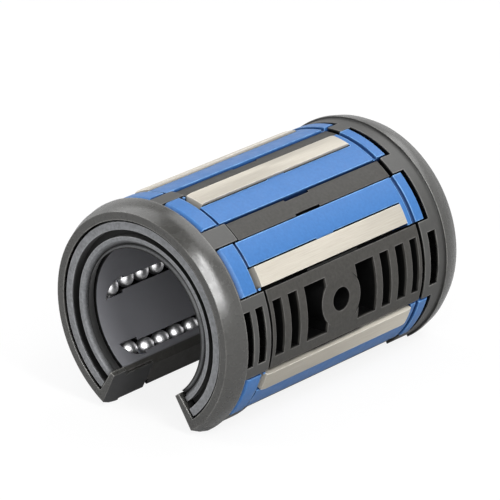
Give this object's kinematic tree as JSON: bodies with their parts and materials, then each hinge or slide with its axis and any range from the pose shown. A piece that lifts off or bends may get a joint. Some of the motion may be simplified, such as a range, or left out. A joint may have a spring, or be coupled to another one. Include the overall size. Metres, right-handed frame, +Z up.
{
  "type": "open linear ball bushing",
  "caption": "Open C-shaped linear ball bushing with steel load plates, blue return covers, end caps and lip seals; it runs along a supported round shaft.",
  "frame": {"origin": "on the bore axis, midway between the two end faces", "axes": "+Y along the bore axis from the front end to the rear end, +Z up, with the opening for the shaft support facing -Z and the fixing hole on the +X side"},
  "size_m": [0.032, 0.045, 0.0296],
  "materials": {
    "cage_plastic": "black moulded plastic",
    "cap_plastic": "dark grey moulded plastic, satin",
    "seal_rubber": "grey sealing rubber",
    "plate_steel": "hardened and ground",
    "cover_plastic": "blue moulded plastic, satin",
    "ball_steel": "polished bearing steel"
  },
  "bodies": {
    "housing": {"ball_cage": "cage_plastic", "end_cap_front": "cap_plastic", "end_cap_rear": "cap_plastic", "seal_front": "seal_rubber", "seal_rear": "seal_rubber", "load_plate_1": "plate_steel", "return_cover_1": "cover_plastic", "load_plate_2": "plate_steel", "return_cover_2": "cover_plastic", "load_plate_3": "plate_steel", "return_cover_3": "cover_plastic", "load_plate_4": "plate_steel", "return_cover_4": "cover_plastic", "load_plate_5": "plate_steel", "return_cover_5": "cover_plastic", "load_plate_6": "plate_steel", "return_cover_6": "cover_plastic"},
    "load_row_1": {"load_balls_1": "ball_steel"},
    "return_row_1": {"return_balls_1": "ball_steel"},
    "front_turn_1": {"front_turn_balls_1": "ball_steel"},
    "rear_turn_1": {"rear_turn_balls_1": "ball_steel"},
    "load_row_2": {"load_balls_2": "ball_steel"},
    "return_row_2": {"return_balls_2": "ball_steel"},
    "front_turn_2": {"front_turn_balls_2": "ball_steel"},
    "rear_turn_2": {"rear_turn_balls_2": "ball_steel"},
    "load_row_3": {"load_balls_3": "ball_steel"},
    "return_row_3": {"return_balls_3": "ball_steel"},
    "front_turn_3": {"front_turn_balls_3": "ball_steel"},
    "rear_turn_3": {"rear_turn_balls_3": "ball_steel"},
    "load_row_4": {"load_balls_4": "ball_steel"},
    "return_row_4": {"return_balls_4": "ball_steel"},
    "front_turn_4": {"front_turn_balls_4": "ball_steel"},
    "rear_turn_4": {"rear_turn_balls_4": "ball_steel"},
    "load_row_5": {"load_balls_5": "ball_steel"},
    "return_row_5": {"return_balls_5": "ball_steel"},
    "front_turn_5": {"front_turn_balls_5": "ball_steel"},
    "rear_turn_5": {"rear_turn_balls_5": "ball_steel"},
    "load_row_6": {"load_balls_6": "ball_steel"},
    "return_row_6": {"return_balls_6": "ball_steel"},
    "front_turn_6": {"front_turn_balls_6": "ball_steel"},
    "rear_turn_6": {"rear_turn_balls_6": "ball_steel"}
  },
  "joints": [
    {"name": "load_row_1_slide", "type": "slide", "parent": "housing", "child": "load_row_1", "axis": [0, 1, 0], "range_m": [-0.00143, 0.00143]},
    {"name": "return_row_1_slide", "type": "slide", "parent": "housing", "child": "return_row_1", "axis": [0, 1, 0], "range_m": [-0.00143, 0.00143]},
    {"name": "front_turn_1_hinge", "type": "hinge", "parent": "housing", "child": "front_turn_1", "pos_m": [-0.00962, -0.0154, -0.00666], "axis": [-0.5961, 0, -0.8029], "range_deg": [-45.01, 45.01]},
    {"name": "rear_turn_1_hinge", "type": "hinge", "parent": "housing", "child": "rear_turn_1", "pos_m": [-0.00962, 0.0131, -0.00666], "axis": [-0.5961, 0, -0.8029], "range_deg": [-45.01, 45.01]},
    {"name": "load_row_2_slide", "type": "slide", "parent": "housing", "child": "load_row_2", "axis": [0, 1, 0], "range_m": [-0.00143, 0.00143]},
    {"name": "return_row_2_slide", "type": "slide", "parent": "housing", "child": "return_row_2", "axis": [0, 1, 0], "range_m": [-0.00143, 0.00143]},
    {"name": "front_turn_2_hinge", "type": "hinge", "parent": "housing", "child": "front_turn_2", "pos_m": [-0.01169, -0.0154, -0.00051], "axis": [-0.9604, 0, 0.2786], "range_deg": [-45.01, 45.01]},
    {"name": "rear_turn_2_hinge", "type": "hinge", "parent": "housing", "child": "rear_turn_2", "pos_m": [-0.01169, 0.0131, -0.00051], "axis": [-0.9604, 0, 0.2786], "range_deg": [-45.01, 45.01]},
    {"name": "load_row_3_slide", "type": "slide", "parent": "housing", "child": "load_row_3", "axis": [0, 1, 0], "range_m": [-0.00143, 0.00143]},
    {"name": "return_row_3_slide", "type": "slide", "parent": "housing", "child": "return_row_3", "axis": [0, 1, 0], "range_m": [-0.00143, 0.00143]},
    {"name": "front_turn_3_hinge", "type": "hinge", "parent": "housing", "child": "front_turn_3", "pos_m": [-0.00265, -0.0154, 0.01139], "axis": [-0.5269, 0, 0.8499], "range_deg": [-45.01, 45.01]},
    {"name": "rear_turn_3_hinge", "type": "hinge", "parent": "housing", "child": "rear_turn_3", "pos_m": [-0.00265, 0.0131, 0.01139], "axis": [-0.5269, 0, 0.8499], "range_deg": [-45.01, 45.01]},
    {"name": "load_row_4_slide", "type": "slide", "parent": "housing", "child": "load_row_4", "axis": [0, 1, 0], "range_m": [-0.00143, 0.00143]},
    {"name": "return_row_4_slide", "type": "slide", "parent": "housing", "child": "return_row_4", "axis": [0, 1, 0], "range_m": [-0.00143, 0.00143]},
    {"name": "front_turn_4_hinge", "type": "hinge", "parent": "housing", "child": "front_turn_4", "pos_m": [0.00436, -0.0154, 0.01086], "axis": [0.0559, 0, 0.9984], "range_deg": [-45.01, 45.01]},
    {"name": "rear_turn_4_hinge", "type": "hinge", "parent": "housing", "child": "rear_turn_4", "pos_m": [0.00436, 0.0131, 0.01086], "axis": [0.0559, 0, 0.9984], "range_deg": [-45.01, 45.01]},
    {"name": "load_row_5_slide", "type": "slide", "parent": "housing", "child": "load_row_5", "axis": [0, 1, 0], "range_m": [-0.00143, 0.00143]},
    {"name": "return_row_5_slide", "type": "slide", "parent": "housing", "child": "return_row_5", "axis": [0, 1, 0], "range_m": [-0.00143, 0.00143]},
    {"name": "front_turn_5_hinge", "type": "hinge", "parent": "housing", "child": "front_turn_5", "pos_m": [0.00948, -0.0154, 0.00686], "axis": [0.9553, 0, 0.2958], "range_deg": [-45.01, 45.01]},
    {"name": "rear_turn_5_hinge", "type": "hinge", "parent": "housing", "child": "rear_turn_5", "pos_m": [0.00948, 0.0131, 0.00686], "axis": [0.9553, 0, 0.2958], "range_deg": [-45.01, 45.01]},
    {"name": "load_row_6_slide", "type": "slide", "parent": "housing", "child": "load_row_6", "axis": [0, 1, 0], "range_m": [-0.00143, 0.00143]},
    {"name": "return_row_6_slide", "type": "slide", "parent": "housing", "child": "return_row_6", "axis": [0, 1, 0], "range_m": [-0.00143, 0.00143]},
    {"name": "front_turn_6_hinge", "type": "hinge", "parent": "housing", "child": "front_turn_6", "pos_m": [0.00948, -0.0154, -0.00686], "axis": [0.9552, 0, -0.2961], "range_deg": [-45.01, 45.01]},
    {"name": "rear_turn_6_hinge", "type": "hinge", "parent": "housing", "child": "rear_turn_6", "pos_m": [0.00948, 0.0131, -0.00686], "axis": [0.9552, 0, -0.2961], "range_deg": [-45.01, 45.01]}
  ],
  "couplings": [
    {"joint": "return_row_1_slide", "follows": "load_row_1_slide", "ratio": -1},
    {"joint": "front_turn_1_hinge", "follows": "load_row_1_slide", "rad_per_m": -551.16},
    {"joint": "rear_turn_1_hinge", "follows": "load_row_1_slide", "rad_per_m": -551.16},
    {"joint": "return_row_2_slide", "follows": "load_row_2_slide", "ratio": -1},
    {"joint": "front_turn_2_hinge", "follows": "load_row_2_slide", "rad_per_m": 551.16},
    {"joint": "rear_turn_2_hinge", "follows": "load_row_2_slide", "rad_per_m": 551.16},
    {"joint": "return_row_3_slide", "follows": "load_row_3_slide", "ratio": -1},
    {"joint": "front_turn_3_hinge", "follows": "load_row_3_slide", "rad_per_m": -551.16},
    {"joint": "rear_turn_3_hinge", "follows": "load_row_3_slide", "rad_per_m": -551.16},
    {"joint": "return_row_4_slide", "follows": "load_row_4_slide", "ratio": -1},
    {"joint": "front_turn_4_hinge", "follows": "load_row_4_slide", "rad_per_m": -551.16},
    {"joint": "rear_turn_4_hinge", "follows": "load_row_4_slide", "rad_per_m": -551.16},
    {"joint": "return_row_5_slide", "follows": "load_row_5_slide", "ratio": -1},
    {"joint": "front_turn_5_hinge", "follows": "load_row_5_slide", "rad_per_m": 551.16},
    {"joint": "rear_turn_5_hinge", "follows": "load_row_5_slide", "rad_per_m": 551.16},
    {"joint": "return_row_6_slide", "follows": "load_row_6_slide", "ratio": -1},
    {"joint": "front_turn_6_hinge", "follows": "load_row_6_slide", "rad_per_m": -551.16},
    {"joint": "rear_turn_6_hinge", "follows": "load_row_6_slide", "rad_per_m": -551.16}
  ]
}
